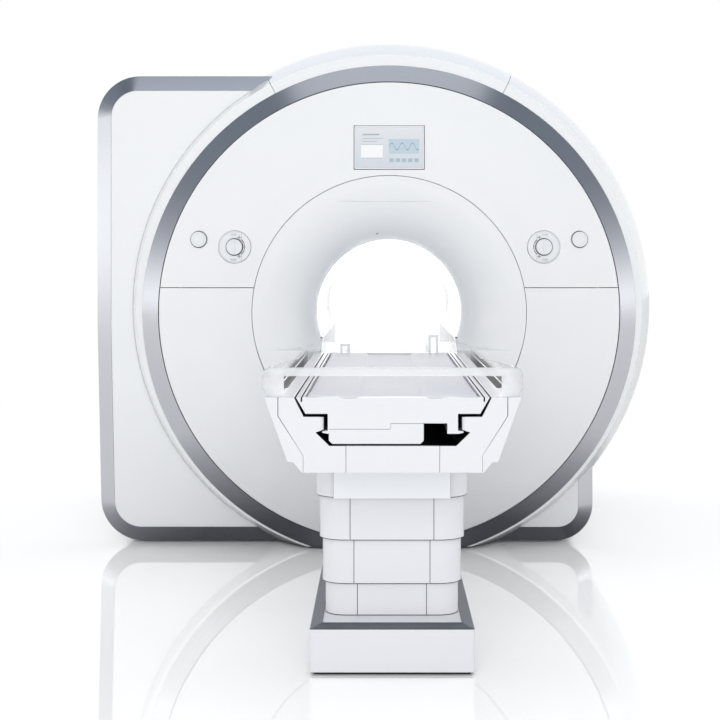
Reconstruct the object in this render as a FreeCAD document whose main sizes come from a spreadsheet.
import FreeCAD, Part
import math
import os
import Sketcher
from FreeCAD import Rotation, Vector

# A whole-body magnetic resonance scanner: the magnet in its covers, and the patient table.
# Frame: X to the right seen from the table's foot end, Y into the bore, Z up.
# The origin lies on the floor, straight under the middle of the magnet.

SIZES = [
    # name, value in mm or degrees, what it is; where a value is a distance from other places,
    # their names follow, and the place is that distance added to them
    ("bore_height", 970, "height of the bore axis above the floor"),
    ("bore_radius", 300, "inside radius of the patient bore"),
    ("liner_wall", 6, "wall of the bore liner"),
    ("ledge_height", -109, "height of the ledge along both sides of the bore", "bore_height"),
    ("seat_gap", 0.3, "gap between curved parts that sit in each other"),
    ("seam_gap", 2, "open seam between two cover panels"),
    ("reach_factor", 1.3, "how far a cutting shape reaches, in parts of what it cuts"),
    ("floor_gap", 8, "gap between the floor and the lower edge of the covers"),
    # covers of the magnet
    ("cover_wall", 5, "wall of the moulded covers"),
    ("front_rim_y", 895, "how far the funnel rim stands before the isocentre"),
    ("funnel_radius", 256, "radius of the front funnel at its rim", "bore_radius"),
    ("rim_ledge_height", -44, "height of the ledge at the funnel rim", "ledge_height"),
    ("trim_inner_y", -30, "how far its inner edge stands before the isocentre", "front_rim_y"),
    ("trim_outer_y", -40, "how far its outer edge stands before the isocentre", "trim_inner_y"),
    ("trim_wall", 7, "wall of the trim ring, along the bore"),
    ("dome_radius", 800, "curve of the front cover from funnel to trim"),
    ("seam_height", 102, "height of the seam in the front cover", "bore_height"),
    ("rear_funnel_radius", 180, "radius of the rear funnel at its rim", "bore_radius"),
    ("rear_edge_drop", 28, "how far it turns forward"),
    ("barrel_height", 20, "height of the barrel cover's axis", "bore_height"),
    ("barrel_curve", 2500, "curve of the barrel cover along the bore"),
    ("barrel_front_y", -3, "how far the barrel cover reaches before the isocentre", "trim_outer_y"),
    ("barrel_seam_angle", 28, "seam of the barrel cover, from the top, in degrees"),
    # side housing and foot
    ("housing_taper_height", -70, "height where the left side starts to draw in", "bore_height"),
    ("housing_corner", 180, "outer corner radius of the housing"),
    ("cover_floor_gap", 6, "gap between the floor and the housing or the foot cover"),
    ("cover_inner_edge", 314, "inner edge of their outlines, which the barrel cover trims"),
    ("housing_bevel", 68, "width of the bevelled metal rim"),
    ("housing_bevel_depth", 60, "depth of the bevelled metal rim"),
    ("housing_front_y", -154, "how far the housing's front panel stands before the isocentre", "front_rim_y"),
    ("foot_corner", 155, "corner radius of the foot cover"),
    ("foot_top", -270, "height up to which the foot cover is cut from", "bore_height"),
    # magnet
    ("vessel_radius", -90, "outer radius of the vacuum vessel", "bore_height"),
    ("trim_inner_radius", 62, "inner radius of the metal trim ring", "vessel_radius"),
    ("trim_outer_radius", 71, "outer radius of the metal trim ring", "trim_inner_radius"),
    ("rear_edge_radius", -73, "radius at which the rear cover turns forward", "trim_outer_radius"),
    ("barrel_radius", 165, "greatest radius of the barrel cover", "trim_outer_radius"),
    ("barrel_lip_radius", -38, "inner radius of the barrel cover's end lips", "trim_outer_radius"),
    ("housing_left", 47, "left side of the housing from the middle", "barrel_radius"),
    ("housing_left_foot", -15, "left side of the housing at the floor", "housing_left"),
    ("housing_top", -25, "top of the housing", "bore_height", "trim_outer_radius"),
    ("foot_right", -322, "right side of the foot cover", "barrel_radius"),
    ("vessel_half", -135, "half length of the vacuum vessel", "front_rim_y"),
    ("rear_y", 70, "how far the rear cover stands behind the isocentre", "vessel_half"),
    ("barrel_rear_y", -24, "how far it reaches behind the isocentre", "rear_y"),
    ("housing_rear_y", -89, "how far the housing reaches behind the isocentre", "rear_y"),
    ("vessel_wall", 10, "wall of the vacuum vessel"),
    ("vessel_bore_radius", 150, "inner radius of its warm bore", "bore_radius"),
    ("vessel_bore_wall", 6, "wall of the warm bore tube"),
    ("shield_radius", -36, "outer radius of the thermal shield", "vessel_radius"),
    ("shield_half", -35, "half length of the thermal shield", "vessel_half"),
    ("shield_wall", 4, "wall of the thermal shield"),
    ("shield_bore_radius", 26, "inner radius of the thermal shield", "vessel_bore_radius"),
    ("helium_radius", -72, "outer radius of the helium vessel", "vessel_radius"),
    ("helium_half", -70, "half length of the helium vessel", "vessel_half"),
    ("helium_wall", 8, "wall of the helium vessel"),
    ("former_radius", 50, "inner radius of the coil former", "vessel_bore_radius"),
    ("former_wall", 12, "wall of the coil former"),
    ("cheek_width", 10, "width of a cheek of the coil former"),
    ("coil_height", 66, "radial height of a main coil"),
    ("centre_coil_y", 90, "middle of a centre coil from the isocentre"),
    ("centre_coil_width", 110, "width of a centre coil"),
    ("middle_coil_y", 290, "middle of a middle coil from the isocentre"),
    ("middle_coil_width", 100, "width of a middle coil"),
    ("end_coil_y", -140, "middle of an end coil from the isocentre", "helium_half"),
    ("end_coil_width", 180, "width of an end coil"),
    ("shield_coil_y", 430, "middle of a shield coil from the isocentre"),
    ("shield_coil_width", 90, "width of a shield coil"),
    ("shield_coil_height", 44, "radial height of a shield coil"),
    ("strut_radius", 10, "radius of a suspension strut"),
    ("strut_y", 500, "suspension struts from the isocentre"),
    ("strut_hole_gap", 0.3, "gap round a strut where it holds the thermal shield"),
    ("cradle_half", 480, "half width of the magnet's cradle"),
    ("cradle_depth", 160, "size of a cradle beam along the bore"),
    ("cradle_y", 450, "cradle beams from the isocentre"),
    ("cradle_block_half", 385, "half width of a beam's high part"),
    ("cradle_flange", 30, "thickness of a beam's foot flange"),
    ("tie_x", 250, "cradle ties from the middle"),
    ("tie_width", 90, "width of a cradle tie"),
    ("tie_height", 40, "height of a cradle tie"),
    ("magnet_anchor_x", 435, "magnet anchor bolts from the middle"),
    ("magnet_anchor_hole", 26, "diameter of a magnet anchor hole"),
    ("turret_y", 350, "service turret behind the isocentre"),
    ("turret_radius", 140, "radius of the service turret"),
    ("turret_top", -138, "top of the service turret's flange", "barrel_height", "barrel_radius"),
    ("turret_flange_radius", 170, "radius of the turret's flange"),
    ("turret_flange", 16, "thickness of the turret's flange"),
    ("turret_sink", 32, "how far the turret starts below the top of the vessel"),
    ("cold_head_y", 150, "cold head before the isocentre"),
    ("cold_head_radius", 62, "radius of the cold head's cylinder"),
    ("cold_head_flange_radius", 105, "radius of its flange"),
    ("cold_head_flange_top", 30, "top of its flange", "bore_height", "vessel_radius"),
    ("cold_head_neck_top", -178, "top of its cylinder", "barrel_height", "barrel_radius"),
    ("cold_head_sink", 16, "how far its flange starts below the top of the vessel"),
    ("cold_head_motor_length", 190, "length of its motor"),
    ("cold_head_motor_width", 130, "width of its motor"),
    ("cold_head_motor_height", 90, "height of its motor"),
    ("gradient_radius", 80, "inner radius of the gradient coil", "bore_radius"),
    ("gradient_half", -80, "half length of the gradient coil", "vessel_half"),
    ("body_coil_radius", 66, "inner radius of the body coil", "bore_radius"),
    ("body_coil_wall", 6, "wall of the body coil"),
    ("body_coil_half", -125, "half length of the body coil", "vessel_half"),
    ("body_coil_rib", 30, "width of a rib round the body coil"),
    ("body_coil_rib_y", -45, "outer ribs of the body coil from the isocentre", "body_coil_half"),
    ("cover_frame_radius", -92, "radius of the frames that carry the end covers", "trim_inner_radius"),
    ("cover_frame_wall", 8, "wall of the cover frames"),
    ("cover_frame_window", 60, "length of a window in a cover frame, along the bore"),
    ("cover_frame_window_half", 120, "half width of a window in a cover frame"),
    # bed in the bore
    ("trough_half", -25, "half width of the bed in the bore", "bore_radius"),
    ("trough_wall", 5, "wall of the bed"),
    ("trough_flange", 12, "width of the bed's top flange"),
    ("trough_front_y", -9, "how far the bed reaches before the isocentre", "front_rim_y"),
    # display and controls
    ("display_width", 282, "width of the display"),
    ("display_height", 175, "height of the display"),
    ("display_z", 114, "height of the display's middle", "bore_height", "funnel_radius"),
    ("display_front_y", 15, "how far the display stands before the isocentre", "front_rim_y"),
    ("display_depth", 36, "depth of the display housing"),
    ("display_border", 5, "border of the display round its glass"),
    ("glass_thickness", 4, "thickness of the display glass"),
    ("panel_gap", 0.5, "gap round a unit in the front cover"),
    ("control_inset", 123, "control discs inside the middle of the front cover's face"),
    ("control_z", 165, "height of the control discs", "seam_height"),
    ("control_radius", 67, "radius of a control disc"),
    ("control_front_y", 16, "how far a control disc stands before the isocentre", "front_rim_y"),
    ("control_depth", 30, "depth of a control disc"),
    ("dial_radius", 34, "radius of the dial on a control disc"),
    ("dial_height", 20, "how far a dial stands off its disc"),
    ("dial_shaft_radius", 8, "radius of a dial's shaft"),
    ("dial_grip", 4, "height and half width of the raised grip across a dial"),
    ("dial_grip_half", 27, "half length of that grip"),
    ("button_outset", 23, "stop buttons outside the middle of the front cover's face"),
    ("button_z", 196, "height of the round stop buttons", "seam_height"),
    ("button_radius", 32, "radius of a round stop button"),
    ("button_front_y", 13, "how far a button stands before the isocentre", "front_rim_y"),
    ("button_depth", 19, "depth of a button"),
    # base and lifting column of the table
    ("column_half", 196, "half width of the column's fixed section"),
    ("column_half_depth", 375, "half depth of the column's fixed section"),
    ("column_corner", 60, "corner radius of the fixed section"),
    ("column_wall", 8.7, "wall of a column section"),
    ("column_gap", 0.3, "gap between two column sections"),
    ("fixed_top", 312, "top of the fixed section"),
    ("low_bottom", -77, "bottom of the low section", "fixed_top"),
    ("low_top", 91, "top of the low section", "fixed_top"),
    ("high_bottom", -39.5, "bottom of the high section", "low_top"),
    ("high_top", 101, "top of the high section", "low_top"),
    ("top_bottom", -16, "bottom of the top section", "high_top"),
    ("column_plate", 6, "plate that carries a moving section"),
    ("front_plate_half", 170, "half width of the plate before the column"),
    ("front_plate_thickness", 12, "how far that plate stands proud"),
    ("ram_radius", 40, "radius of the lifting ram's rod"),
    ("ram_wall", 9.6, "wall of a ram tube"),
    ("ram_gap", 0.4, "gap between two ram tubes"),
    ("ram_rod_bottom", 290, "lower end of the ram's rod"),
    ("ram_high_bottom", 200, "lower end of the high ram tube"),
    ("ram_low_bottom", 110, "lower end of the low ram tube"),
    ("base_half", 39, "half width of the table's base", "column_half"),
    ("base_top", 130, "height of the base at its outer edge"),
    ("base_gap", 6, "gap between floor and base cover"),
    ("base_bevel", 35, "width of the base's bevelled trim"),
    ("base_trim_top", 13, "height of the trim's inner edge", "base_top"),
    ("base_plateau", 11, "height of the base inside its trim", "base_top"),
    ("base_corner", 10, "corner radius of the base"),
    ("floor_plate", 15, "thickness of the table's floor plate"),
    ("floor_plate_inset", 12, "floor plate's edge inside the base cover"),
    ("table_anchor_x", -50, "table anchor bolts from the middle", "base_half"),
    ("table_anchor_inset", 60, "table anchor bolts from the plate's ends"),
    ("table_anchor_hole", 18, "diameter of a table anchor hole"),
    ("duct_half", 100, "half width of the cable cover on the floor"),
    ("duct_height", 5.5, "height of the cable cover on the floor"),
    # table
    ("table_rear_y", 21, "head end of the table before the isocentre", "front_rim_y"),
    ("table_front_y", 1980, "foot end of the table before the isocentre", "table_rear_y"),
    ("column_y", -734, "middle of the column before the isocentre", "table_front_y"),
    ("base_front_y", 499, "front of the base before the isocentre", "column_y"),
    ("base_rear_y", -501, "rear of the base before the isocentre", "column_y"),
    ("table_top", -50, "height of the tabletop", "ledge_height"),
    ("trough_floor", -135, "height of the bed's floor", "table_top"),
    ("frame_side_height", -50, "height where the frame's side turns inward", "table_top"),
    ("frame_low_half", 44, "half width of the frame's lower box", "column_half"),
    ("frame_low_top", -156, "top of the frame's lower box", "table_top"),
    ("frame_bottom", -202, "underside of the table frame", "table_top"),
    ("frame_floor", -130, "floor of the channel in the frame", "table_top"),
    ("frame_floor_half", 170, "half width of that floor"),
    ("frame_groove_height", -94, "height of the hook grooves", "table_top"),
    ("frame_shelf", -52, "height of the shelves in the channel", "table_top"),
    ("frame_wall", 12, "wall of the frame's lower box"),
    ("glide_height", 2.7, "height of a glide strip"),
    ("front_panel_half", 126, "half width of the frame's end panel"),
    ("front_panel_thickness", 12, "thickness of the frame's end panel"),
    ("shell_side_bottom", 29, "lower end of the shell's upright side", "table_top"),
    ("shell_knee_half", 42, "half width of the shell at its knee", "frame_low_half"),
    ("shell_knee_height", -174, "height of the shell's knee", "table_top"),
    ("shell_foot_half", 27, "half width of the shell below its knee", "frame_low_half"),
    ("shell_bottom_half", 4, "half width of the shell at its bottom", "frame_low_half"),
    ("slot_front_y", -294, "foot end of the accessory slot before the isocentre", "table_front_y"),
    ("slot_depth", 40, "depth of the accessory slot"),
    ("rail_top", 79, "top of the hand rail", "table_top"),
    ("rail_low_top", 13, "top of the side rails at the head end", "table_top"),
    ("rail_slope_run", 1330, "run over which the side rails slope down"),
    ("rail_width", 25, "width of the hand rail"),
    ("rail_corner", 62, "outer corner radius of the hand rail"),
    ("grip_top", 57, "top of the grip opening", "table_top"),
    ("rail_round", 8, "rounding of the rail's upper edges"),
    # sliding tabletop
    ("top_half", -13, "half width of the tabletop", "trough_half"),
    ("frame_top_half", 46, "half width of the table frame at its top", "top_half"),
    ("shell_half", 47, "half width of the table over its side shells", "frame_top_half"),
    ("slot_inner", -6, "inner edge of the accessory slot", "frame_top_half"),
    ("slot_outer", 26, "outer edge of the accessory slot", "slot_inner"),
    ("grip_half", 31, "half width of the grip opening", "top_half"),
    ("top_low_half", -26, "half width of the tabletop at its underside", "top_half"),
    ("frame_shelf_half", 3, "half width of the shelves in the channel", "top_low_half"),
    ("top_underside", -49, "underside of the tabletop's wings", "table_top"),
    ("stem_half", 176, "half width of the tabletop's stem"),
    ("frame_stem_half", 7, "half width of the channel's neck", "stem_half"),
    ("glide_inner", 4, "inner edge of a glide strip", "frame_stem_half"),
    ("glide_outer", 43, "outer edge of a glide strip", "glide_inner"),
    ("hook_half", 15, "half width over the tabletop's hooks", "stem_half"),
    ("trough_low_half", 9, "half width of the bed's lower channel", "hook_half"),
    ("frame_groove_half", 16, "half width of the hook grooves", "hook_half"),
    ("groove_rise", 8, "rise of a hook groove's roof towards the neck"),
    ("hook_top", -89, "top of a hook", "table_top"),
    ("hook_bottom", -95, "lower corner of a hook", "table_top"),
    ("hook_fall", 2, "fall of a hook's top towards its tip"),
    ("stem_bottom", -98, "bottom of the tabletop's stem", "table_top"),
    ("leg_inner", -29, "inner face of the stem's right leg", "stem_half"),
    ("pocket_top", -70, "top of the pocket under the tabletop", "table_top"),
    ("step_x", 6, "step in the pocket, left of the middle"),
    ("step_height", -85, "height of the step", "table_top"),
    ("left_leg_inner", -4, "inner face of the stem's left leg", "stem_half"),
    ("tray_right", 83, "right side of the cable tray"),
    ("tray_bottom", -125, "bottom of the cable tray", "table_top"),
    ("tray_chamfer", 9, "chamfer along the cable tray"),
    ("tray_gap", 0.3, "gap between tray and tabletop"),
    ("groove_x", -15, "grooves in the tabletop from the middle", "top_half"),
    ("groove_width", 4, "width of a groove"),
    ("groove_depth", 12, "depth of a groove"),
    ("finger_x", 118, "finger recesses in the tabletop's foot end from the middle"),
    ("finger_half", 32, "half width of a finger recess"),
    ("finger_depth", 4, "depth of a finger recess"),
    ("mat_half", -23, "half width of the mattress", "top_half"),
    ("mat_depth", 16, "depth of the mattress in the tabletop"),
    ("mat_end", 22, "solid end of the tabletop beyond the mattress"),
    ("mat_gap", 0.5, "gap round the mattress"),
    ("mat_edge", 4, "rounding along the mattress's upper edges"),
    ("top_side_gap", 3, "gap between the tabletop and the frame beside it"),
    ("mat_dish", 7, "how far the mattress dips along its middle"),
    ("mat_dish_half", 97, "half width of that dip"),
    ("mat_dip_slope", 12, "width of the slope at each side of that dip"),
    ("socket_x", 178, "coil sockets from the middle"),
    ("socket_width", 38, "width of a coil socket"),
    ("socket_left_height", 34, "height of the left coil socket"),
    ("socket_right_height", 70, "height of the right coil socket"),
    ("socket_thickness", 8, "thickness of a coil socket"),
    ("socket_length", 45, "length of a coil socket along the table"),
    ("socket_end", 6, "coil sockets from the tabletop's head end"),
    ("motor_radius", 21, "radius of the tabletop's drive motor"),
    ("motor_foot_half", 17, "half width of the motor's foot"),
    ("motor_length", 150, "length of the drive motor"),
    ("motor_y", -662, "drive motor before the isocentre", "column_y"),
    ("pulley_radius", 16, "radius of the drive motor's pulley"),
    ("pulley_width", 22, "width of the drive motor's pulley"),
]

document = FreeCAD.newDocument("mri_scanner")
sheet = document.addObject("Spreadsheet::Sheet", "sizes")


class Size:
    """A length or angle: its number, and the sheet expression that the number comes from."""

    def __init__(self, text, value):
        self.text = text
        self.value = value

    def __add__(self, other):
        return Size("(%s + %s)" % (self.text, text_of(other)), self.value + number(other))

    def __radd__(self, other):
        return Size("(%s + %s)" % (text_of(other), self.text), number(other) + self.value)

    def __sub__(self, other):
        return Size("(%s - %s)" % (self.text, text_of(other)), self.value - number(other))

    def __rsub__(self, other):
        return Size("(%s - %s)" % (text_of(other), self.text), number(other) - self.value)

    def __mul__(self, other):
        return Size("(%s * %s)" % (self.text, text_of(other)), self.value * number(other))

    def __rmul__(self, other):
        return Size("(%s * %s)" % (text_of(other), self.text), number(other) * self.value)

    def __truediv__(self, other):
        return Size("(%s / %s)" % (self.text, text_of(other)), self.value / number(other))

    def __neg__(self):
        return Size("(0 - %s)" % self.text, -self.value)


def number(value):
    return value.value if isinstance(value, Size) else float(value)


def text_of(value):
    return value.text if isinstance(value, Size) else "%.10g" % value


def root(value):
    return Size("sqrt(%s)" % value.text, math.sqrt(value.value))


def sine(angle):
    return Size("sin(%s * 1 deg)" % angle.text, math.sin(math.radians(angle.value)))


def cosine(angle):
    return Size("cos(%s * 1 deg)" % angle.text, math.cos(math.radians(angle.value)))


def leg(hypotenuse, other):
    """The other leg of a right triangle, as where a circle crosses a line."""
    return root(hypotenuse * hypotenuse - other * other)


class Namespace:
    pass


s = Namespace()
for row, (name, value, note, *measured_from) in enumerate(SIZES, start=1):
    sheet.set("A%d" % row, name)
    sheet.set("B%d" % row, "%g" % value)
    sheet.set("C%d" % row, note)
    sheet.setAlias("B%d" % row, name)
    size = Size("sizes." + name, float(value))
    for other in measured_from:
        size = getattr(s, other) + size
    setattr(s, name, size)
document.recompute()

s.face_middle = (s.funnel_radius + s.trim_inner_radius) / 2
s.control_x = s.face_middle - s.control_inset
s.button_x = s.face_middle + s.button_outset


# --- drawing and shaping ---------------------------------------------------------------

def bind(thing, prop, value):
    """Sets a property of an object from a size, and ties it to the sheet."""
    if isinstance(value, Size):
        thing.setExpression(prop, value.text)
    elif "." not in prop:
        setattr(thing, prop, value)
    else:
        thing.setExpression(prop, text_of(value))


def new_body(label, x=0, y=0, z=0):
    body = document.addObject("PartDesign::Body", label)
    body.Label = label
    place(body, x, y, z)
    return body


def place(thing, x=0, y=0, z=0):
    for axis, value in (("x", x), ("y", y), ("z", z)):
        if isinstance(value, Size) or value:
            bind(thing, "Placement.Base." + axis, value)


def new_sketch(body, plane, offset=0):
    sketch = body.newObject("Sketcher::SketchObject", body.Name + "_outline")
    found = [item for item in body.Origin.OriginFeatures if item.Role == plane + "_Plane"]
    sketch.AttachmentSupport = [(found[0], "")]
    sketch.MapMode = "FlatFace"
    if isinstance(offset, Size) or offset:
        bind(sketch, "AttachmentOffset.Base.z", offset)
    return sketch


def pin(sketch, geometry, corner, point):
    """Fixes one point of a sketch at a place that is worked out from the sheet."""
    for kind, value, axis in (("DistanceX", point[0], -2), ("DistanceY", point[1], -1)):
        if not isinstance(value, Size) and value == 0:
            sketch.addConstraint(Sketcher.Constraint("PointOnObject", geometry, corner, axis))
            continue
        rule = Sketcher.Constraint(kind, -1, 1, geometry, corner, number(value))
        index = sketch.addConstraint(rule)
        sketch.setExpression("Constraints[%d]" % index, text_of(value))


def arc_between(start, end, radius):
    """A circle arc; a positive radius turns left on the way, a negative one right."""
    middle = (start + end) * 0.5
    along = end - start
    half = along.Length / 2
    side = Vector(-along.y, along.x, 0).normalize()
    rise = math.sqrt(max(radius * radius - half * half, 0.0))
    centre = middle + side * (rise if radius > 0 else -rise)
    first, last = (start, end) if radius > 0 else (end, start)
    angles = [math.atan2(point.y - centre.y, point.x - centre.x) for point in (first, last)]
    circle = Part.Circle(centre, Vector(0, 0, 1), abs(radius))
    return Part.ArcOfCircle(circle, angles[0], angles[1])


def draw(sketch, outline):
    """Draws a closed outline of corners (x, y); a third entry is the radius of the arc that leaves it."""
    corners = [Vector(number(point[0]), number(point[1]), 0) for point in outline]
    lines = []
    for index, point in enumerate(outline):
        start = corners[index]
        end = corners[(index + 1) % len(corners)]
        if len(point) == 3:
            edge = sketch.addGeometry(arc_between(start, end, number(point[2])), False)
            turns_left = number(point[2]) > 0
            lines.append((edge, 1 if turns_left else 2, 2 if turns_left else 1))
        else:
            edge = sketch.addGeometry(Part.LineSegment(start, end), False)
            lines.append((edge, 1, 2))
    for index, (edge, first, last) in enumerate(lines):
        following = lines[(index + 1) % len(lines)]
        sketch.addConstraint(Sketcher.Constraint("Coincident", edge, last, following[0], following[1]))
        pin(sketch, edge, first, outline[index])
    for point, (edge, first, last) in zip(outline, lines):
        if len(point) == 3:
            radius = point[2] if number(point[2]) > 0 else -point[2]
            index = sketch.addConstraint(Sketcher.Constraint("Radius", edge, number(radius)))
            sketch.setExpression("Constraints[%d]" % index, text_of(radius))


def draw_circle(sketch, centre, radius):
    middle = Vector(number(centre[0]), number(centre[1]), 0)
    edge = sketch.addGeometry(Part.Circle(middle, Vector(0, 0, 1), number(radius)), False)
    pin(sketch, edge, 3, centre)
    index = sketch.addConstraint(Sketcher.Constraint("Radius", edge, number(radius)))
    sketch.setExpression("Constraints[%d]" % index, text_of(radius))


def draw_all(sketch, outlines):
    for outline in outlines:
        if outline[0] == "circle":
            draw_circle(sketch, outline[1], outline[2])
        else:
            draw(sketch, outline)


def add(body, plane, low, high, *outlines):
    """Pads outlines from low to high along X, Y or Z, for the plane YZ, XZ or XY."""
    flip = plane == "XZ"
    sketch = new_sketch(body, plane, -high if flip else low)
    draw_all(sketch, outlines)
    pad = body.newObject("PartDesign::Pad", body.Name + "_pad")
    pad.Profile = sketch
    bind(pad, "Length", high - low)
    return pad


def cut(body, plane, low, high, *outlines):
    """Cuts outlines away from low to high along X, Y or Z."""
    flip = plane == "XZ"
    sketch = new_sketch(body, plane, -low if flip else high)
    draw_all(sketch, outlines)
    pocket = body.newObject("PartDesign::Pocket", body.Name + "_pocket")
    pocket.Profile = sketch
    bind(pocket, "Length", high - low)
    return pocket


def turn(body, *outlines):
    """Revolves outlines, drawn as (along the bore, radius), about the body's Y axis."""
    sketch = new_sketch(body, "YZ")
    draw_all(sketch, outlines)
    revolution = body.newObject("PartDesign::Revolution", body.Name + "_turned")
    revolution.Profile = sketch
    revolution.ReferenceAxis = (sketch, ["H_Axis"])
    revolution.Angle = 360
    return revolution


def rectangle(left, low, right, high):
    return [(left, low), (right, low), (right, high), (left, high)]


def rounded(half_x, low, high, corner):
    """A rectangle about X = 0 with round corners."""
    return [(half_x, low + corner), (half_x, high - corner, corner),
            (half_x - corner, high), (-half_x + corner, high, corner),
            (-half_x, high - corner), (-half_x, low + corner, corner),
            (-half_x + corner, low), (half_x - corner, low, corner)]


def mirrored(half):
    """Closes an outline that is drawn on the right of X = 0, from its top down."""
    return half + [(-x, y) for x, y in reversed(half) if isinstance(x, Size)]


def sided(side, outline):
    """Swaps an outline to the left where side is -1."""
    swapped = []
    for point in outline:
        radius = (point[2] * side,) if len(point) == 3 else ()
        swapped.append((point[0] * side, point[1]) + radius)
    return swapped


def combine(kind, label, first, second):
    """One solid from two by a boolean: Part::Cut or Part::Common."""
    result = document.addObject(kind, label)
    result.Label = label
    result.Base = first
    result.Tool = second
    return result


def join(label, shapes):
    result = document.addObject("Part::MultiFuse", label)
    result.Label = label
    result.Shapes = shapes
    return result


def group(label, shapes):
    """Separate like pieces that share one node."""
    result = document.addObject("Part::Compound", label)
    result.Label = label
    result.Links = shapes
    return result


nodes = []


def node(thing):
    nodes.append(thing)
    return thing


# --- the magnet --------------------------------------------------------------------------

floor_level = s.floor_gap - s.bore_height


def can(label, radius, half, wall, hole):
    """A drum with a wide hole in both ends, open towards the axis."""
    body = new_body(label, z=s.bore_height)
    turn(body, [(-half, hole), (-half, radius), (half, radius), (half, hole),
                (half - wall, hole), (half - wall, radius - wall),
                (-half + wall, radius - wall), (-half + wall, hole)])
    return body


def tube(label, radius, wall, half):
    body = new_body(label, z=s.bore_height)
    turn(body, rectangle(-half, radius, half, radius + wall))
    return body


def make_cradle():
    """Two saddle beams and three ties welded into the frame that carries the magnet."""
    body = new_body("magnet_base_frame")
    seat = s.vessel_radius + s.seat_gap
    block_top = s.bore_height - leg(seat, s.cradle_block_half)
    for side in (-1, 1):
        middle = s.cradle_y * side
        add(body, "XZ", middle - s.cradle_depth / 2, middle + s.cradle_depth / 2,
            [(s.cradle_half, 0), (s.cradle_half, s.cradle_flange),
             (s.cradle_block_half, s.cradle_flange), (s.cradle_block_half, block_top, -seat),
             (-s.cradle_block_half, block_top), (-s.cradle_block_half, s.cradle_flange),
             (-s.cradle_half, s.cradle_flange), (-s.cradle_half, 0)])
        if side == -1:
            reach = s.cradle_y - s.cradle_depth / 2
            add(body, "XZ", -reach - s.cradle_flange, reach + s.cradle_flange,
                *[rectangle(s.tie_x * x - s.tie_width / 2, 0,
                            s.tie_x * x + s.tie_width / 2, s.tie_height) for x in (-1, 0, 1)])
    cut(body, "XY", 0, s.cradle_flange,
        *[("circle", (s.magnet_anchor_x * x, s.cradle_y * y), s.magnet_anchor_hole / 2)
          for x in (-1, 1) for y in (-1, 1)])
    return body


def strut(label, side, quarter, radius):
    """One rod between helium vessel and vacuum vessel."""
    rod = document.addObject("Part::Cylinder", label)
    bind(rod, "Radius", radius)
    inner = s.helium_radius + s.seat_gap
    length = s.vessel_radius - s.vessel_wall - s.seat_gap - inner
    bind(rod, "Height", length)
    rod.Placement.Rotation = Rotation(Vector(0, 1, 0), 45 + 90 * quarter)
    slope = math.sqrt(0.5)
    x = 1 if quarter in (0, 1) else -1
    z = 1 if quarter in (0, 3) else -1
    place(rod, inner * (slope * x), s.strut_y * side, s.bore_height + inner * (slope * z))
    return rod


def make_shield():
    """The thermal shield: a drum and its bore tube, with holes for the struts."""
    drum = can("shield_drum", s.shield_radius, s.shield_half, s.shield_wall,
               s.shield_bore_radius + s.shield_wall)
    bore = tube("shield_bore_tube", s.shield_bore_radius, s.shield_wall, s.shield_half)
    holes = group("shield_holes",
                  [strut("shield_hole", side, quarter, s.strut_radius + s.strut_hole_gap)
                   for side in (-1, 1) for quarter in range(4)])
    drum_cut = combine("Part::Cut", "shield_drum_cut", drum, holes)
    return group("thermal_shield", [drum_cut, bore])


def coil_places():
    places = []
    for middle, width in ((s.centre_coil_y, s.centre_coil_width),
                          (s.middle_coil_y, s.middle_coil_width),
                          (s.end_coil_y, s.end_coil_width)):
        places.append((middle - width / 2, middle + width / 2))
    return places


def make_former():
    """The coil former: a tube with a cheek at each side of each main coil."""
    body = new_body("coil_former", z=s.bore_height)
    outer = s.former_radius + s.former_wall
    top = outer + s.coil_height
    half = s.helium_half - s.helium_wall
    profile = [(-half, s.former_radius), (half, s.former_radius), (half, outer)]
    steps = []
    for low, high in reversed(coil_places()):
        steps += [(high + s.cheek_width, outer), (high + s.cheek_width, top),
                  (high, top), (high, outer), (low, outer), (low, top),
                  (low - s.cheek_width, top), (low - s.cheek_width, outer)]
    profile += steps
    profile += [(-y, radius) for y, radius in reversed(steps)]
    profile += [(-half, outer)]
    turn(body, profile)
    return body


def make_coils():
    """Six main coils on the former, and two shield coils against the helium vessel's wall."""
    coils = []
    inner = s.former_radius + s.former_wall + s.seat_gap
    for low, high in coil_places():
        for side in (-1, 1):
            coil = new_body("main_coil", z=s.bore_height)
            turn(coil, rectangle((low + s.seat_gap) * side, inner, (high - s.seat_gap) * side,
                                 inner + s.coil_height))
            coils.append(coil)
    outer = s.helium_radius - s.helium_wall - s.seat_gap
    for side in (-1, 1):
        coil = new_body("shield_coil", z=s.bore_height)
        middle = s.shield_coil_y * side
        turn(coil, rectangle(middle - s.shield_coil_width / 2, outer - s.shield_coil_height,
                             middle + s.shield_coil_width / 2, outer))
        coils.append(coil)
    return group("superconducting_coils", coils)


def standing_cylinder(label, radius, y, low, high):
    cylinder = document.addObject("Part::Cylinder", label)
    bind(cylinder, "Radius", radius)
    bind(cylinder, "Height", high - low)
    place(cylinder, 0, y, low)
    return cylinder


def vessel_cylinder(label):
    """The vacuum vessel's outside with its seat gap, to cut what stands on it."""
    cylinder = document.addObject("Part::Cylinder", label)
    bind(cylinder, "Radius", s.vessel_radius + s.seat_gap)
    bind(cylinder, "Height", s.vessel_half * 2)
    cylinder.Placement.Rotation = Rotation(Vector(1, 0, 0), 90)
    place(cylinder, 0, s.vessel_half, s.bore_height)
    return cylinder


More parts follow.
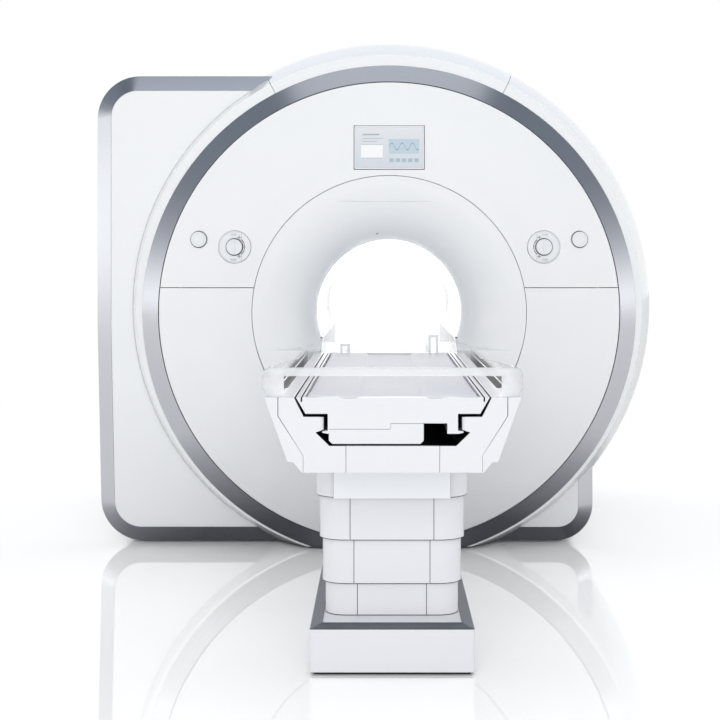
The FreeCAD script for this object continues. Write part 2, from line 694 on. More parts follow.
def make_turret():
    """The service turret on top of the vessel, with its bolted flange."""
    low = s.bore_height + s.vessel_radius - s.turret_sink
    neck = standing_cylinder("turret_neck", s.turret_radius, s.turret_y, low, s.turret_top)
    flange = standing_cylinder("turret_lid", s.turret_flange_radius, s.turret_y,
                               s.turret_top - s.turret_flange, s.turret_top)
    whole = join("turret_whole", [neck, flange])
    return combine("Part::Cut", "service_turret", whole, vessel_cylinder("turret_seat"))


def make_cold_head():
    """The cold head: flange, cylinder and motor block."""
    y = -s.cold_head_y
    low = s.bore_height + s.vessel_radius - s.cold_head_sink
    flange = standing_cylinder("cold_head_flange", s.cold_head_flange_radius, y, low,
                               s.cold_head_flange_top)
    neck = standing_cylinder("cold_head_neck", s.cold_head_radius, y, low, s.cold_head_neck_top)
    motor = document.addObject("Part::Box", "cold_head_motor")
    bind(motor, "Length", s.cold_head_motor_length)
    bind(motor, "Width", s.cold_head_motor_width)
    bind(motor, "Height", s.cold_head_motor_height)
    place(motor, -s.cold_head_motor_length / 2, y - s.cold_head_motor_width / 2,
          s.cold_head_neck_top)
    whole = join("cold_head_whole", [flange, neck, motor])
    return combine("Part::Cut", "cold_head", whole, vessel_cylinder("cold_head_seat"))


def make_body_coil():
    """The body coil: a thin tube with three ribs that seat in the gradient coil."""
    body = new_body("body_coil", z=s.bore_height)
    wall = s.body_coil_radius + s.body_coil_wall
    top = s.gradient_radius - s.seat_gap
    half = s.body_coil_half
    rib = s.body_coil_rib / 2
    profile = [(-half, s.body_coil_radius), (half, s.body_coil_radius), (half, wall)]
    for middle in (s.body_coil_rib_y, 0, -s.body_coil_rib_y):
        profile += [(middle + rib, wall), (middle + rib, top), (middle - rib, top),
                    (middle - rib, wall)]
    profile += [(-half, wall)]
    turn(body, profile)
    return body


def dome_y(radius):
    """Where the front cover's outer face lies at a radius, before the isocentre."""
    run = s.trim_inner_radius - s.funnel_radius
    drop = s.front_rim_y - s.trim_inner_y
    chord = root(run * run + drop * drop)
    rise = leg(s.dome_radius, chord / 2)
    centre_radius = (s.trim_inner_radius + s.funnel_radius) / 2 - rise * drop / chord
    centre_y = (s.front_rim_y + s.trim_inner_y) / 2 - rise * run / chord
    return centre_y + leg(s.dome_radius, radius - centre_radius)


def make_cover_frames():
    """Two ring frames on the ends of the vessel, with windows, that carry the end covers."""
    frames = []
    outer = s.cover_frame_radius + s.cover_frame_wall
    front = dome_y(outer) - s.cover_wall - s.seat_gap
    rear = s.rear_y - s.cover_wall - s.seat_gap
    for side, reach in ((-1, front), (1, rear)):
        body = new_body("cover_frame", z=s.bore_height)
        turn(body, rectangle(s.vessel_half * side, s.cover_frame_radius, reach * side, outer))
        middle = (s.vessel_half + reach) / 2 * side
        windows = []
        for x in (-1, 1):
            across = s.cover_frame_radius / 2 * x
            windows.append(rectangle(across - s.cover_frame_window_half, middle - s.cover_frame_window / 2,
                                     across + s.cover_frame_window_half, middle + s.cover_frame_window / 2))
        cut(body, "XY", -outer, outer, *windows)
        frames.append(body)
    return group("cover_frames", frames)


# --- the bore ----------------------------------------------------------------------------

def make_liner():
    """The bore liner: a tube whose lower part is cut away above the bed."""
    body = new_body("bore_liner", z=s.bore_height)
    front = s.front_rim_y - (s.funnel_radius - s.bore_radius)
    rear = s.rear_y - (s.rear_funnel_radius - s.bore_radius)
    turn(body, rectangle(-front, s.bore_radius, rear, s.bore_radius + s.liner_wall))
    reach = s.bore_radius + s.liner_wall * 2
    cut(body, "XY", -reach, s.ledge_height - s.bore_height, rectangle(-reach, -front, reach, rear))
    return body


def ledge_start():
    return -(s.front_rim_y - (s.funnel_radius - s.bore_radius))


def trough_outline(extra):
    """The bed's outside, or with a gap round it."""
    out = s.trough_wall + extra
    return mirrored([(s.trough_half + s.trough_flange + extra, s.ledge_height + extra),
                     (s.trough_half + s.trough_flange + extra, s.ledge_height - out),
                     (s.trough_half + out, s.ledge_height - out),
                     (s.trough_half + out, s.frame_shelf - out),
                     (s.trough_low_half + out, s.frame_shelf - out),
                     (s.trough_low_half + out, s.trough_floor - out)])


def make_trough():
    """The bed in the bore: a stepped channel with two glide strips for the tabletop."""
    body = new_body("bore_bed")
    front = -s.trough_front_y
    add(body, "XZ", front, s.rear_y, trough_outline(0))
    top = s.ledge_height + s.trough_wall
    glide_top = s.frame_shelf + s.glide_height
    inside = mirrored([(s.trough_half, top), (s.trough_half, s.frame_shelf),
                       (s.glide_outer, s.frame_shelf), (s.glide_outer, glide_top),
                       (s.trough_low_half + s.trough_wall, glide_top),
                       (s.trough_low_half + s.trough_wall, s.frame_shelf),
                       (s.trough_low_half, s.frame_shelf), (s.trough_low_half, s.trough_floor)])
    cut(body, "XZ", front, s.rear_y, inside)
    reach = s.trough_half * 2
    cut(body, "YZ", -reach, reach,
        [(-s.front_rim_y, s.rim_ledge_height), (ledge_start(), s.ledge_height),
         (-s.front_rim_y, s.ledge_height)])
    return body


def bell(label, side, rim_y, rim_radius, thick):
    """A quarter-round trumpet from the bore to its rim; with no thickness, the space inside it."""
    body = new_body(label, z=s.bore_height)
    sweep = rim_radius - s.bore_radius
    start = (rim_y - sweep) * side
    end = rim_y * side
    if thick:
        inner = sweep - s.cover_wall
        turn(body, [(start, s.bore_radius, sweep * side), (end, rim_radius),
                    (end - s.cover_wall * side, rim_radius, inner * -side),
                    (start, s.bore_radius + s.cover_wall)])
    else:
        gap = s.seat_gap
        turn(body, [(start, 0), (start, s.bore_radius - gap, sweep * side),
                    (end, rim_radius - gap), (end, 0)])
    return body


def make_front_funnel():
    """The front funnel and, below it, the apron with the sloping ledges behind the table."""
    trumpet = bell("funnel_trumpet", -1, s.front_rim_y, s.funnel_radius, True)
    space = bell("funnel_space", -1, s.front_rim_y, s.funnel_radius, False)
    start = ledge_start()
    rim = -s.front_rim_y
    reach = s.funnel_radius + s.cover_wall
    below = new_body("funnel_below")
    under = s.ledge_height - s.cover_wall
    rim_under = s.rim_ledge_height - s.cover_wall
    add(below, "YZ", -reach, reach,
        [(start, under), (rim, rim_under), (rim - reach, rim_under),
         (rim - reach, 0), (start + s.cover_wall, 0), (start + s.cover_wall, under)])
    upper = combine("Part::Cut", "funnel_upper", trumpet, below)
    plate = new_body("funnel_plate")
    add(plate, "YZ", -reach, reach,
        [(start, s.ledge_height), (rim, s.rim_ledge_height),
         (rim, s.bore_height - reach), (rim + s.cover_wall, s.bore_height - reach),
         (rim + s.cover_wall, rim_under), (start, under)])
    fitted = combine("Part::Common", "funnel_plate_fitted", plate, space)
    pieces = []
    for label, whole in (("front_funnel", upper), ("front_apron", fitted)):
        passage = new_body(label + "_passage")
        add(passage, "XZ", rim - s.cover_wall, start + s.cover_wall, trough_outline(s.seat_gap))
        pieces.append(combine("Part::Cut", label, whole, passage))
    return pieces


def make_rear_funnel():
    trumpet = bell("rear_trumpet", 1, s.rear_y, s.rear_funnel_radius, True)
    passage = new_body("rear_passage")
    start = s.rear_y - (s.rear_funnel_radius - s.bore_radius)
    reach = s.cover_wall * 2
    add(passage, "XZ", start - reach, s.rear_y + reach, trough_outline(s.seat_gap))
    return combine("Part::Cut", "rear_funnel", trumpet, passage)


# --- the covers ---------------------------------------------------------------------------

def cover_body(label):
    """The domed front cover, all the way round."""
    body = new_body(label, z=s.bore_height)
    inner = s.funnel_radius + s.panel_gap
    outer = s.trim_inner_radius - s.panel_gap
    face = dome_y(inner)
    edge = dome_y(outer)
    turn(body, [(-face, inner, -s.dome_radius), (-edge, outer), (-edge + s.cover_wall, outer,
                s.dome_radius), (-face + s.cover_wall, inner)])
    return body


def keep_above(body, level):
    reach = s.barrel_radius * s.reach_factor
    cut(body, "XY", -reach, level, rectangle(-reach, -reach, reach, reach))


def keep_below(body, level):
    reach = s.barrel_radius * s.reach_factor
    cut(body, "XY", level, reach, rectangle(-reach, -reach, reach, reach))


def unit_holes():
    """The holes in the front cover for the display, the control discs and the buttons."""
    gap = s.panel_gap
    middle = s.display_z - s.bore_height
    holes = [rectangle(-s.display_width / 2 - gap, middle - s.display_height / 2 - gap,
                       s.display_width / 2 + gap, middle + s.display_height / 2 + gap)]
    for side in (-1, 1):
        holes.append(("circle", (s.control_x * side, s.control_z - s.bore_height),
                      s.control_radius + gap))
        holes.append(("circle", (s.button_x * side, s.button_z - s.bore_height),
                      s.button_radius + gap))
    return holes


def make_front_covers():
    seam = s.seam_height - s.bore_height
    upper = cover_body("front_cover_upper")
    keep_above(upper, seam + s.seam_gap / 2)
    cut(upper, "XZ", -s.front_rim_y * 1.1, -s.trim_inner_y * 0.9, *unit_holes())
    lower = cover_body("front_cover_lower")
    keep_below(lower, seam - s.seam_gap / 2)
    return upper, lower


def make_trim_ring():
    """The bevelled metal ring between front cover and barrel, flat where it meets the floor."""
    body = new_body("trim_ring", z=s.bore_height)
    inner = s.trim_inner_radius
    outer = s.trim_outer_radius
    turn(body, [(-s.trim_inner_y, inner), (-s.trim_outer_y, outer),
                (-s.trim_outer_y + s.trim_wall, outer), (-s.trim_inner_y + s.trim_wall, inner)])
    keep_above(body, floor_level)
    return body


def barrel_edge(y):
    """The barrel cover's radius at a distance from the isocentre."""
    return s.barrel_radius - s.barrel_curve + leg(s.barrel_curve, y)


def barrel_body(label):
    """The barrel cover all the way round, with its two end lips."""
    body = new_body(label, z=s.barrel_height)
    front = s.barrel_front_y
    rear = s.barrel_rear_y
    wall = s.cover_wall
    lip = s.barrel_lip_radius
    turn(body, [(-front, lip), (-front, barrel_edge(front), -s.barrel_curve),
                (rear, barrel_edge(rear)), (rear, lip), (rear - wall, lip),
                (rear - wall, barrel_edge(rear) - wall, s.barrel_curve),
                (-front + wall, barrel_edge(front) - wall), (-front + wall, lip)])
    offset = s.bore_height - s.barrel_height
    cut(body, "XZ", -front, rear, ("circle", (0, offset), s.trim_outer_radius + s.panel_gap))
    return body


def barrel_space(label):
    """The space inside the barrel cover's outer face, with a gap, to cut what is fitted to it."""
    body = new_body(label, z=s.barrel_height)
    front = s.barrel_front_y
    rear = s.barrel_rear_y
    gap = s.seat_gap
    turn(body, [(-front, 0), (-front, barrel_edge(front) + gap, -s.barrel_curve),
                (rear, barrel_edge(rear) + gap), (rear, 0)])
    return body


def make_barrel():
    """The barrel cover in three panels: one on top, one down each side."""
    reach = s.barrel_radius * s.reach_factor
    half_seam = s.seam_gap / 2
    edge = reach * sine(s.barrel_seam_angle) / cosine(s.barrel_seam_angle)
    top = barrel_body("barrel_cover_top")
    tip = half_seam / sine(s.barrel_seam_angle)
    cut(top, "XZ", -s.barrel_front_y, s.barrel_rear_y,
        [(0, tip), (edge, reach + tip), (reach, reach + tip), (reach, -reach),
         (-reach, -reach), (-reach, reach + tip), (-edge, reach + tip)])
    sides = []
    for side, label in ((1, "barrel_cover_right"), (-1, "barrel_cover_left")):
        panel = barrel_body(label)
        keep_above(panel, s.floor_gap - s.barrel_height)
        cut(panel, "XZ", -s.barrel_front_y, s.barrel_rear_y,
            sided(side, [(half_seam, 0), (edge + half_seam, reach), (-reach, reach),
                         (-reach, -reach), (half_seam, -reach)]))
        sides.append(panel)
    return top, sides


def make_rear_cover():
    """The plain rear cover: a flat ring that turns forward at its edge."""
    body = new_body("rear_cover", z=s.bore_height)
    inner = s.rear_funnel_radius + s.panel_gap
    face = s.rear_y
    outer = s.trim_outer_radius
    edge = face - s.rear_edge_drop
    turn(body, [(face, inner), (face, s.rear_edge_radius), (edge, outer),
                (edge - s.cover_wall, outer), (face - s.cover_wall, s.rear_edge_radius),
                (face - s.cover_wall, inner)])
    keep_above(body, floor_level)
    return body


def housing_outline(inset):
    """The housing seen from the front, drawn smaller all round by an inset."""
    corner = s.housing_corner - inset
    left = -s.housing_left + inset
    foot = -s.housing_left_foot + inset
    low = s.cover_floor_gap + inset
    high = s.housing_top - inset
    return [(-s.cover_inner_edge, low), (-s.cover_inner_edge, high),
            (left + corner, high, corner), (left, high - corner),
            (left, s.housing_taper_height), (foot, low + corner, corner),
            (foot + corner, low)]


def foot_outline(inset):
    corner = s.foot_corner - inset
    right = s.foot_right - inset
    low = s.cover_floor_gap + inset
    inner = s.cover_inner_edge
    return [(inner, low), (right - corner, low, corner), (right, low + corner),
            (right, s.foot_top), (inner, s.foot_top)]


def bevelled(label, outline, inset):
    """A slab between two outlines: full at the back of the bevel, drawn in at its front."""
    body = new_body(label)
    sketches = []
    for y, more in ((-s.housing_front_y + s.housing_bevel_depth, inset),
                    (-s.housing_front_y, s.housing_bevel + inset)):
        sketch = new_sketch(body, "XZ", -y)
        draw(sketch, outline(more))
        sketches.append(sketch)
    loft = body.newObject("PartDesign::AdditiveLoft", body.Name + "_loft")
    loft.Profile = sketches[0]
    loft.Sections = [sketches[1]]
    loft.Ruled = True
    return body


def make_bevelled_cover(prefix, outline):
    """Rim, panel and shell of a cover that leans against the barrel."""
    back = -s.housing_front_y + s.housing_bevel_depth
    front = -s.housing_front_y
    wall = s.cover_wall
    outer = bevelled(prefix + "_rim_outside", outline, 0)
    inside = new_body(prefix + "_rim_inside")
    add(inside, "XZ", front - wall, back + wall, outline(s.housing_bevel))
    hollow = bevelled(prefix + "_rim_hollow", outline, wall)
    rim = combine("Part::Cut", prefix + "_rim_band", outer, inside)
    rim = combine("Part::Cut", prefix + "_rim_thin", rim, hollow)
    rim = combine("Part::Cut", prefix + "_rim", rim, barrel_space(prefix + "_rim_fit"))
    panel_body = new_body(prefix + "_panel_whole")
    add(panel_body, "XZ", front, front + wall, outline(s.housing_bevel + s.panel_gap))
    panel = combine("Part::Cut", prefix + "_panel", panel_body, barrel_space(prefix + "_panel_fit"))
    shell_body = new_body(prefix + "_shell_whole")
    add(shell_body, "XZ", back + s.panel_gap, s.housing_rear_y, outline(0))
    cut(shell_body, "XZ", back + s.panel_gap, s.housing_rear_y - wall, outline(wall))
    shell = combine("Part::Cut", prefix + "_shell", shell_body, barrel_space(prefix + "_shell_fit"))
    return rim, panel, shell


# --- display and controls -------------------------------------------------------------------

def make_display():
    """The display: a housing let into the front cover, and its glass."""
    housing = new_body("display_housing", z=s.display_z)
    front = -s.display_front_y
    half_x = s.display_width / 2
    half_z = s.display_height / 2
    corner = s.display_border
    add(housing, "XZ", front, front + s.display_depth, rounded(half_x, -half_z, half_z, corner))
    inner_x = half_x - s.display_border
    inner_z = half_z - s.display_border
    cut(housing, "XZ", front, front + s.glass_thickness, rectangle(-inner_x, -inner_z, inner_x, inner_z))
    glass = new_body("display_glass", z=s.display_z)
    gap = s.seat_gap
    add(glass, "XZ", front, front + s.glass_thickness,
        rectangle(-inner_x + gap, -inner_z + gap, inner_x - gap, inner_z - gap))
    return housing, glass


def make_control(side, name):
    """A control disc and the dial on it."""
    x = s.control_x * side
    disc = new_body("control_disc_" + name, x=x, z=s.control_z)
    front = -s.control_front_y
    add(disc, "XZ", front, front + s.control_depth, ("circle", (0, 0), s.control_radius))
    shaft_depth = s.control_depth / 2
    cut(disc, "XZ", front, front + shaft_depth, ("circle", (0, 0), s.dial_shaft_radius + s.seat_gap))
    dial = new_body("dial_" + name, x=x, z=s.control_z)
    back = front - s.seat_gap
    tip = back - s.dial_height
    add(dial, "XZ", tip, back, ("circle", (0, 0), s.dial_radius))
    add(dial, "XZ", back, front + shaft_depth - s.seat_gap, ("circle", (0, 0), s.dial_shaft_radius))
    add(dial, "XZ", tip - s.dial_grip, tip,
        rectangle(-s.dial_grip, -s.dial_grip_half, s.dial_grip, s.dial_grip_half))
    return disc, dial


def make_button(side, name):
    body = new_body("stop_button_" + name, x=s.button_x * side, z=s.button_z)
    front = -s.button_front_y
    add(body, "XZ", front, front + s.button_depth, ("circle", (0, 0), s.button_radius))
    return body


# --- base and lifting column of the table -------------------------------------------------------

def column_outline(step, inset=0):
    """A column section seen from above; step counts from the fixed section outwards."""
    grow = (s.column_wall + s.column_gap) * step - inset
    return rounded(s.column_half + grow, -s.column_half_depth - grow,
                   s.column_half_depth + grow, s.column_corner + grow)


def make_section(label, step, low, high):
    body = new_body(label, y=-s.column_y)
    add(body, "XY", low, high, column_outline(step), column_outline(step, s.column_wall))
    return body


def make_ram(label, step, low, high, plate):
    """A ram tube; a moving one ends in the plate that carries its column section."""
    body = new_body(label, y=-s.column_y)
    inner = s.ram_radius + s.ram_gap + (s.ram_wall + s.ram_gap) * (2 - step)
    add(body, "XY", low, high, ("circle", (0, 0), inner + s.ram_wall), ("circle", (0, 0), inner))
    if plate:
        add(body, "XY", high, high + s.column_plate, column_outline(step), ("circle", (0, 0), inner))
    return body


def make_base():
    """The table's base: floor plate, cover and bevelled trim."""
    front = -s.base_front_y
    rear = -s.base_rear_y
    half = s.base_half
    inset = s.floor_plate_inset
    plate = new_body("table_floor_plate")
    add(plate, "XY", 0, s.floor_plate,
        rectangle(-half + inset, front + inset, half - inset, rear - inset))
    holes = [("circle", (s.table_anchor_x * x, y), s.table_anchor_hole / 2) for x in (-1, 1)
             for y in (front + s.table_anchor_inset, rear - s.table_anchor_inset)]
    cut(plate, "XY", 0, s.floor_plate, *holes)

    cover = new_body("base_cover")
    add(cover, "XY", s.base_gap, s.base_top, rounded(half, front, rear, s.base_corner))
    low_half = half - s.base_bevel - s.panel_gap
    low_front = front + s.base_bevel + s.panel_gap
    low_rear = rear - s.base_bevel - s.panel_gap
    add(cover, "XY", s.base_top, s.base_plateau, rectangle(-low_half, low_front, low_half, low_rear))
    wall = s.cover_wall
    cut(cover, "XY", s.base_gap, s.base_top - wall,
        rectangle(-half + wall, front + wall, half - wall, rear - wall))
    gap = s.column_gap
    middle = -s.column_y
    opening = [(point[0], middle + point[1]) + point[2:] for point in column_outline(0, -gap)]
    cut(cover, "XY", s.base_gap, s.base_plateau, opening)

    trim = new_body("base_trim")
    lower = new_sketch(trim, "XY", s.base_top)
    draw(lower, rectangle(-half, front, half, rear))
    upper = new_sketch(trim, "XY", s.base_trim_top)
    bevel = s.base_bevel
    draw(upper, rectangle(-half + bevel, front + bevel, half - bevel, rear - bevel))
    loft = trim.newObject("PartDesign::AdditiveLoft", "base_trim_loft")
    loft.Profile = lower
    loft.Sections = [upper]
    loft.Ruled = True
    cut(trim, "XY", s.base_top, s.base_trim_top,
        rectangle(-half + bevel, front + bevel, half - bevel, rear - bevel))
    return plate, cover, trim


def make_duct():
    """The flat cable cover on the floor between the table's base and the magnet."""
    body = new_body("floor_cable_cover")
    front = -s.base_rear_y - s.floor_plate_inset
    rear = -s.cradle_y - s.cradle_depth / 2
    add(body, "XY", 0, s.duct_height, rectangle(-s.duct_half, front, s.duct_half, rear))
    return body


# --- table ----------------------------------------------------------------------------------------

def make_frame():
    """The table frame: a deep channel with shelves, hook grooves and a box below."""
    body = new_body("table_frame")
    front = -s.table_front_y
    rear = -s.table_rear_y
    channel_top = s.table_top
    half = [(s.frame_top_half, channel_top), (s.frame_top_half, s.frame_side_height),
            (s.frame_low_half, s.frame_low_top), (s.frame_low_half, s.frame_bottom)]
    glide_top = s.frame_shelf + s.glide_height
    inner = [(s.top_half + s.top_side_gap, channel_top), (s.frame_shelf_half, s.frame_shelf),
             (s.glide_outer, s.frame_shelf), (s.glide_outer, glide_top),
             (s.glide_inner, glide_top), (s.glide_inner, s.frame_shelf),
             (s.frame_stem_half, s.frame_shelf), (s.frame_stem_half, s.frame_groove_height + s.groove_rise),
             (s.frame_groove_half, s.frame_groove_height), (s.frame_floor_half, s.frame_floor)]
    outline = half + [(-x, z) for x, z in reversed(half)]
    outline += [(-x, z) for x, z in inner] + list(reversed(inner))
    add(body, "XZ", front, rear, outline)
    wall = s.frame_wall
    cut(body, "XZ", front + s.front_panel_thickness, rear,
        rectangle(-s.frame_low_half + wall * 2, s.frame_bottom + wall,
                  s.frame_low_half - wall * 2, s.frame_floor - wall))
    cut(body, "XZ", front, front + s.front_panel_thickness,
        rectangle(-s.front_panel_half, s.frame_bottom, s.front_panel_half, s.frame_floor))
    reach = s.frame_top_half + s.slot_depth
    for side in (-1, 1):
        edges = (s.slot_inner, reach) if side == 1 else (-reach, -s.slot_inner)
        cut(body, "XZ", -s.slot_front_y, rear,
            rectangle(edges[0], s.table_top - s.slot_depth, edges[1], s.table_top))
    return body


def make_end_panel():
    body = new_body("table_end_panel")
    front = -s.table_front_y
    gap = s.panel_gap
    add(body, "XZ", front, front + s.front_panel_thickness,
        rectangle(-s.front_panel_half + gap, s.frame_bottom, s.front_panel_half - gap, s.frame_floor))
    return body


def make_table_shell(side, name):
    """A white side shell of the table, with its half of the accessory slot."""
    body = new_body("table_shell_" + name)
    gap = s.panel_gap
    slope = (s.shell_half - s.shell_knee_half) / (s.shell_side_bottom - s.shell_knee_height)
    top_outer = s.shell_half - slope * (s.shell_side_bottom - s.table_top)
    outline = [(s.frame_top_half + gap, s.table_top), (s.frame_top_half + gap, s.frame_side_height),
               (s.frame_low_half + gap, s.frame_low_top), (s.frame_low_half + gap, s.frame_bottom),
               (s.shell_bottom_half, s.frame_bottom), (s.shell_foot_half, s.shell_knee_height),
               (s.shell_knee_half, s.shell_knee_height), (top_outer, s.table_top)]
    add(body, "XZ", -s.table_front_y, -s.table_rear_y, sided(side, outline))
    low = s.table_top - s.slot_depth
    cut(body, "XZ", -s.slot_front_y, -s.table_rear_y,
        sided(side, rectangle(s.slot_inner, low, s.slot_outer, s.table_top)))
    return body


def make_hand_rail():
    """The rim round the table: a bow round the foot end, with its grip opening, and side rails.

    The side rails slope down from the bow to a low rim along the rest of the table.
    """
    slope = (s.shell_half - s.shell_knee_half) / (s.shell_side_bottom - s.shell_knee_height)
    top_outer = s.shell_half - slope * (s.shell_side_bottom - s.table_top)
    front = -s.table_front_y
    corner = s.rail_corner
    half = s.shell_half
    inner = half - s.rail_width
    r = s.rail_round
    section = [(inner, s.table_top), (top_outer, s.table_top), (half, s.shell_side_bottom),
               (half, s.rail_top - r, r), (half - r, s.rail_top), (inner + r, s.rail_top, r),
               (inner, s.rail_top - r)]

    bow = new_body("rail_bow")
    path = new_sketch(bow, "XY", s.table_top)
    ends = [(half, front + corner), (half - corner, front), (-half + corner, front),
            (-half, front + corner)]
    points = [Vector(number(x), number(y), 0) for x, y in ends]
    for index in range(3):
        if index == 1:
            path.addGeometry(Part.LineSegment(points[1], points[2]), False)
        else:
            path.addGeometry(arc_between(points[index], points[index + 1], -number(corner)), False)
    path.addConstraint(Sketcher.Constraint("Coincident", 0, 1, 1, 1))
    path.addConstraint(Sketcher.Constraint("Coincident", 1, 2, 2, 2))
    for (edge, end), place_at in zip(((0, 2), (1, 1), (1, 2), (2, 1)), ends):
        pin(path, edge, end, place_at)
    for index in (0, 2):
        rule = path.addConstraint(Sketcher.Constraint("Radius", index, number(corner)))
        path.setExpression("Constraints[%d]" % rule, text_of(corner))
    drawn = new_sketch(bow, "XZ", s.table_front_y - corner)
    draw(drawn, section)
    pipe = bow.newObject("PartDesign::AdditivePipe", "rail_bow_sweep")
    pipe.Profile = drawn
    pipe.Spine = (path, ["Edge1", "Edge2", "Edge3"])
    pipe.Mode = "Standard"
    cut(bow, "XZ", front - s.rail_width, front + s.rail_width * 2,
        rectangle(-s.grip_half, s.table_top, s.grip_half, s.grip_top))

    start = front + corner
    past = -s.table_rear_y + s.rail_width
    above = s.rail_top + s.rail_width
    slope_end = start + s.rail_slope_run
    off = [(start, s.rail_top), (slope_end, s.rail_low_top), (past, s.rail_low_top),
           (past, above), (start, above)]
    rails = [bow]
    for side in (-1, 1):
        rail = new_body("side_rail")
        add(rail, "XZ", front + corner, -s.table_rear_y, sided(side, section))
        cut(rail, "YZ", -half - s.rail_width, half + s.rail_width, off)
        rails.append(rail)
    return group("hand_rail", rails)


def make_tabletop():
    """The sliding tabletop: wings, a stem with hooks, and a pocket for the cable tray."""
    body = new_body("tabletop")
    front = -s.table_front_y
    rear = -s.table_rear_y
    right = [(s.top_half, s.table_top), (s.top_low_half, s.top_underside),
             (s.stem_half, s.top_underside), (s.stem_half, s.hook_top),
             (s.hook_half, s.hook_top - s.hook_fall), (s.hook_half, s.hook_bottom),
             (s.stem_half, s.stem_bottom)]
    outline = right + [(s.leg_inner, s.stem_bottom), (s.leg_inner, s.pocket_top),
                       (-s.step_x, s.pocket_top), (-s.step_x, s.step_height),
                       (-s.left_leg_inner, s.step_height), (-s.left_leg_inner, s.stem_bottom)]
    outline += [(-x, z) for x, z in reversed(right)]
    add(body, "XZ", front, rear, outline)
    low = s.table_top - s.mat_depth
    cut(body, "XZ", front + s.mat_end, rear - s.mat_end,
        rectangle(-s.mat_half - s.mat_gap, low, s.mat_half + s.mat_gap, s.table_top))
    grooves = []
    for side in (-1, 1):
        middle = s.groove_x * side
        grooves.append(rectangle(middle - s.groove_width / 2, s.table_top - s.groove_depth,
                                 middle + s.groove_width / 2, s.table_top))
    cut(body, "XZ", front, rear, *grooves)
    bend = (s.finger_half * s.finger_half + s.finger_depth * s.finger_depth) / (s.finger_depth * 2)
    for side in (-1, 1):
        middle = s.finger_x * side
        cut(body, "XZ", front, front + s.mat_end,
            [(middle - s.finger_half, s.table_top, bend), (middle + s.finger_half, s.table_top)])
    return body


def make_mattress():
    """The mattress: crowned at its sides and dished along its middle."""
    body = new_body("mattress")
    low = s.table_top - s.mat_depth + s.mat_gap
    top = s.table_top
    half = s.mat_half
    dip = s.mat_dish_half
    edge = s.mat_edge
    add(body, "XZ", -s.table_front_y + s.mat_end + s.mat_gap, -s.table_rear_y - s.mat_end - s.mat_gap,
        [(half, low), (half, top - edge, edge), (half - edge, top), (dip, top),
         (dip - s.mat_dip_slope, top - s.mat_dish), (-dip + s.mat_dip_slope, top - s.mat_dish),
         (-dip, top), (-half + edge, top, edge), (-half, top - edge), (-half, low)])
    return body


def make_tray():
    """The cable tray that fills part of the pocket under the tabletop."""
    body = new_body("cable_tray")
    gap = s.tray_gap
    c = s.tray_chamfer
    left = -s.left_leg_inner + gap
    add(body, "XZ", -s.table_front_y, -s.table_rear_y,
        [(left + c, s.tray_bottom), (s.tray_right - c, s.tray_bottom),
         (s.tray_right, s.tray_bottom + c), (s.tray_right, s.pocket_top),
         (-s.step_x + gap, s.pocket_top), (-s.step_x + gap, s.step_height),
         (left, s.step_height), (left, s.tray_bottom + c)])
    return body


def make_sockets():
    """Two coil sockets at the head end: a low one on the left, a tall one on the right."""
    pieces = []
    t = s.socket_thickness
    end = -s.table_rear_y - s.socket_end
    low = s.table_top
    for side, height in ((-1, s.socket_left_height), (1, s.socket_right_height)):
        middle = s.socket_x * side
        left = middle - s.socket_width / 2
        right = middle + s.socket_width / 2
        body = new_body("coil_socket")
        top = low + height
        add(body, "XZ", end - t * 2, end, [(left, low), (right, low), (right, top), (left, top)])
        cut(body, "XZ", end - t * 2, end, rectangle(left + t, low, right - t, top - t))
        pieces.append(body)
    return group("coil_sockets", pieces)


def make_motor():
    """The tabletop's drive motor on the floor of the frame's box, with its pulley."""
    body = new_body("table_drive_motor", y=-s.motor_y)
    low = s.frame_bottom + s.frame_wall
    middle = low + s.motor_radius
    half = s.motor_length / 2
    add(body, "YZ", -half, half, ("circle", (0, middle), s.motor_radius))
    foot = s.motor_foot_half
    add(body, "YZ", -half / 2, half / 2, rectangle(-foot, low, foot, middle))
    add(body, "YZ", half, half + s.pulley_width, ("circle", (0, middle), s.pulley_radius))
    return body


def make_front_plate():
    """The plate that stands proud before the top section of the column."""
    body = new_body("column_front_plate", y=-s.column_y)
    front = -s.column_half_depth - (s.column_wall + s.column_gap) * 3
    add(body, "XY", s.top_bottom, s.frame_bottom,
        rectangle(-s.front_plate_half, front - s.front_plate_thickness, s.front_plate_half, front))
    return body


def make_rod():
    body = new_body("ram_rod", y=-s.column_y)
    add(body, "XY", s.ram_rod_bottom, s.frame_bottom, ("circle", (0, 0), s.ram_radius))
    return body


# --- everything -------------------------------------------------------------------------------------

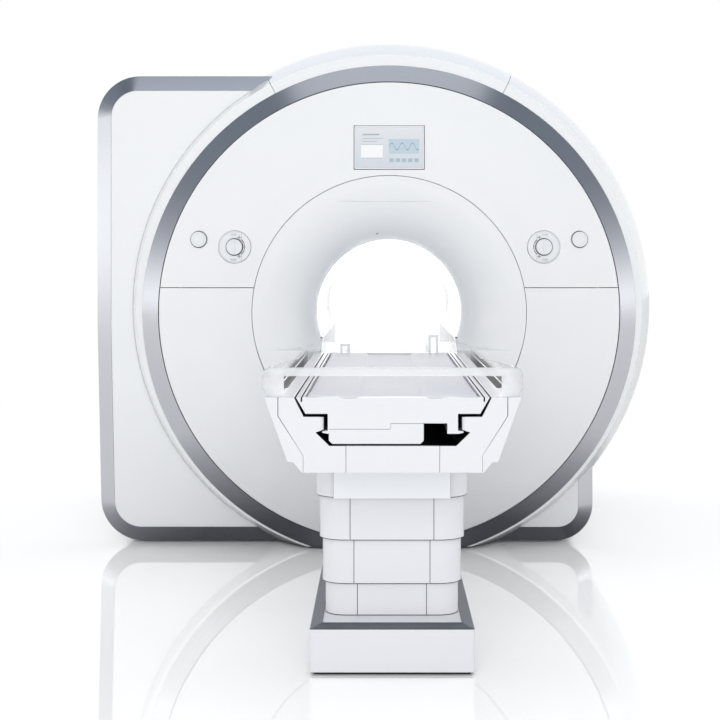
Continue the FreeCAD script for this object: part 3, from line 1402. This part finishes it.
node(make_cradle())
node(can("vacuum_vessel", s.vessel_radius, s.vessel_half, s.vessel_wall,
         s.vessel_bore_radius + s.vessel_bore_wall))
node(tube("vessel_bore_tube", s.vessel_bore_radius, s.vessel_bore_wall, s.vessel_half))
node(make_shield())
node(can("helium_vessel", s.helium_radius, s.helium_half, s.helium_wall,
         s.former_radius + s.former_wall))
node(make_former())
node(make_coils())
node(group("suspension_struts", [strut("suspension_strut", side, quarter, s.strut_radius)
                                 for side in (-1, 1) for quarter in range(4)]))
node(make_turret())
node(make_cold_head())
node(tube("gradient_coil", s.gradient_radius,
          s.vessel_bore_radius - s.seat_gap - s.gradient_radius, s.gradient_half))
node(make_body_coil())
node(make_cover_frames())
node(make_liner())
node(make_trough())
for piece in make_front_funnel():
    node(piece)
node(make_rear_funnel())
for cover in make_front_covers():
    node(cover)
node(make_trim_ring())
barrel_top, barrel_sides = make_barrel()
node(barrel_top)
for panel in barrel_sides:
    node(panel)
node(make_rear_cover())
for piece in make_bevelled_cover("housing", housing_outline):
    node(piece)
foot_rim, foot_panel, foot_shell = make_bevelled_cover("foot", foot_outline)
node(foot_rim)
foot_panel.Label = "foot_panel_plain"
foot_shell.Label = "foot_shell_plain"
node(group("foot_cover", [foot_panel, foot_shell]))
for piece in make_display():
    node(piece)
for side, name in ((-1, "left"), (1, "right")):
    for piece in make_control(side, name):
        node(piece)
    node(make_button(side, name))
for piece in make_base():
    node(piece)
node(make_duct())
node(make_section("column_section_fixed", 0, s.floor_plate, s.fixed_top))
node(make_section("column_section_low", 1, s.low_bottom, s.low_top))
node(make_section("column_section_high", 2, s.high_bottom, s.high_top))
node(make_section("column_section_top", 3, s.top_bottom, s.frame_bottom))
node(make_ram("ram_barrel", 0, s.floor_plate, s.fixed_top, False))
node(make_ram("ram_tube_low", 1, s.ram_low_bottom, s.low_top, True))
node(make_ram("ram_tube_high", 2, s.ram_high_bottom, s.high_top, True))
node(make_rod())
node(make_front_plate())
node(make_frame())
node(make_end_panel())
node(group("table_shells", [make_table_shell(side, name)
                            for side, name in ((-1, "left"), (1, "right"))]))
node(make_hand_rail())
node(make_motor())
node(make_tabletop())
node(make_mattress())
node(make_tray())
node(make_sockets())

document.recompute()

for thing in document.Objects:
    if "Invalid" in thing.State or "Error" in thing.State:
        raise RuntimeError("%s did not build: %s" % (thing.Label, thing.State))
for thing in nodes:
    if thing.Shape.isNull() or not thing.Shape.isValid() or not thing.Shape.Solids:
        raise RuntimeError("%s has no valid solid" % thing.Label)

os.makedirs("parts", exist_ok=True)
for thing in nodes:
    thing.Shape.exportStep("parts/%s.step" % thing.Label)
    print("%-24s %d solid(s) %.4f m3" % (thing.Label, len(thing.Shape.Solids), thing.Shape.Volume / 1e9))
